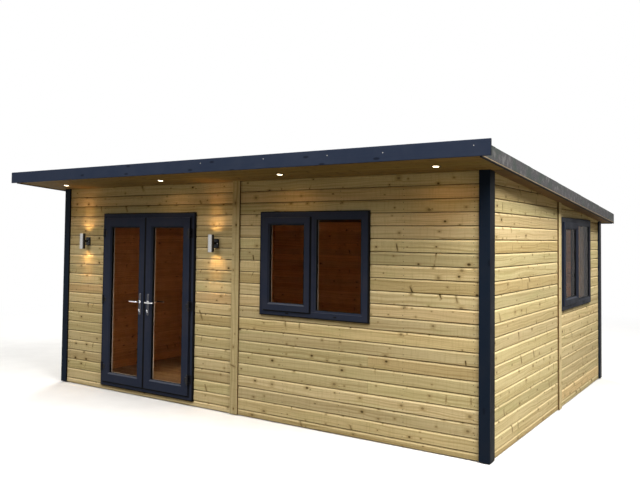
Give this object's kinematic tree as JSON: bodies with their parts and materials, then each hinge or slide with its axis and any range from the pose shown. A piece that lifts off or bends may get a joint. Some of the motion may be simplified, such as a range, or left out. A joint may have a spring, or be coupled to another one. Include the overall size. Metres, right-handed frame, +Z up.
{
  "type": "garden office pod",
  "caption": "Timber garden office with a pent roof, a front canopy with lights, glazed French doors, and plastic windows.",
  "frame": {"origin": "bottom centre of the whole building, on the ground under the middle of its bounding box", "axes": "+X along the front towards its right end seen from outside, +Y from the front to the rear, +Z up"},
  "size_m": [5.822, 4.94, 2.5151],
  "materials": {
    "pine_boards": "sawn pressure treated pine",
    "bearer_timber": "sawn treated softwood",
    "floor_boards": "plain boards",
    "wall_lining": "plain timber lining",
    "trim_paint": "satin dark grey paint",
    "fascia_paint": "satin slate grey paint",
    "soffit_timber": "treated boards",
    "mineral_felt": "mineral chips",
    "frame_plastic": "anthracite grey foil",
    "window_glass": "clear sealed unit",
    "hinge_black": "black",
    "handle_chrome": "polished",
    "lamp_steel": "brushed"
  },
  "bodies": {
    "root": {"floor_bearers": "bearer_timber", "floor_deck": "floor_boards", "front_wall_left": "wall_lining", "front_wall_over_door": "wall_lining", "front_wall_right": "wall_lining", "left_wall": "wall_lining", "right_wall": "wall_lining", "rear_wall": "wall_lining", "front_cladding_left": "pine_boards", "front_cladding_over_door": "pine_boards", "front_cladding_right": "pine_boards", "door_sill_board": "pine_boards", "left_cladding": "pine_boards", "right_cladding": "pine_boards", "rear_cladding": "pine_boards", "corner_trims": "trim_paint", "cover_strips": "pine_boards", "roof_panel": "soffit_timber", "roof_felt": "mineral_felt", "front_fascia": "fascia_paint", "rear_fascia": "fascia_paint", "left_fascia": "mineral_felt", "right_fascia": "mineral_felt", "downlights": "lamp_steel", "wall_light_left": "lamp_steel", "wall_light_right": "lamp_steel", "door_frame": "frame_plastic", "door_hinges_frame": "hinge_black", "front_window_frame": "frame_plastic", "front_window_sash": "frame_plastic", "front_window_glass": "window_glass", "side_window_frame": "frame_plastic", "side_window_sash": "frame_plastic", "side_window_glass": "window_glass"},
    "leaf_left": {"door_leaf_left": "frame_plastic", "door_glass_left": "window_glass", "door_hinges_left": "hinge_black", "door_plates_left": "handle_chrome"},
    "lever_left": {"door_lever_left": "handle_chrome"},
    "leaf_right": {"door_leaf_right": "frame_plastic", "door_glass_right": "window_glass", "door_hinges_right": "hinge_black", "door_plates_right": "handle_chrome"},
    "lever_right": {"door_lever_right": "handle_chrome"}
  },
  "joints": [
    {"name": "leaf_left_swing", "type": "hinge", "parent": "root", "child": "leaf_left", "pos_m": [-1.919, -1.914, 1.047], "axis": [0, 0, -1], "range_deg": [0, 100]},
    {"name": "lever_left_turn", "type": "hinge", "parent": "leaf_left", "child": "lever_left", "pos_m": [-1.3055, -1.85, 1.054], "axis": [0, -1, 0], "range_deg": [0, 35], "stiffness_Nm_per_rad": 2, "springref_deg": -28.65},
    {"name": "leaf_right_swing", "type": "hinge", "parent": "root", "child": "leaf_right", "pos_m": [-0.566, -1.914, 1.047], "axis": [0, 0, 1], "range_deg": [0, 100]},
    {"name": "lever_right_turn", "type": "hinge", "parent": "leaf_right", "child": "lever_right", "pos_m": [-1.1795, -1.85, 1.054], "axis": [0, 1, 0], "range_deg": [0, 35], "stiffness_Nm_per_rad": 2, "springref_deg": -28.65}
  ]
}
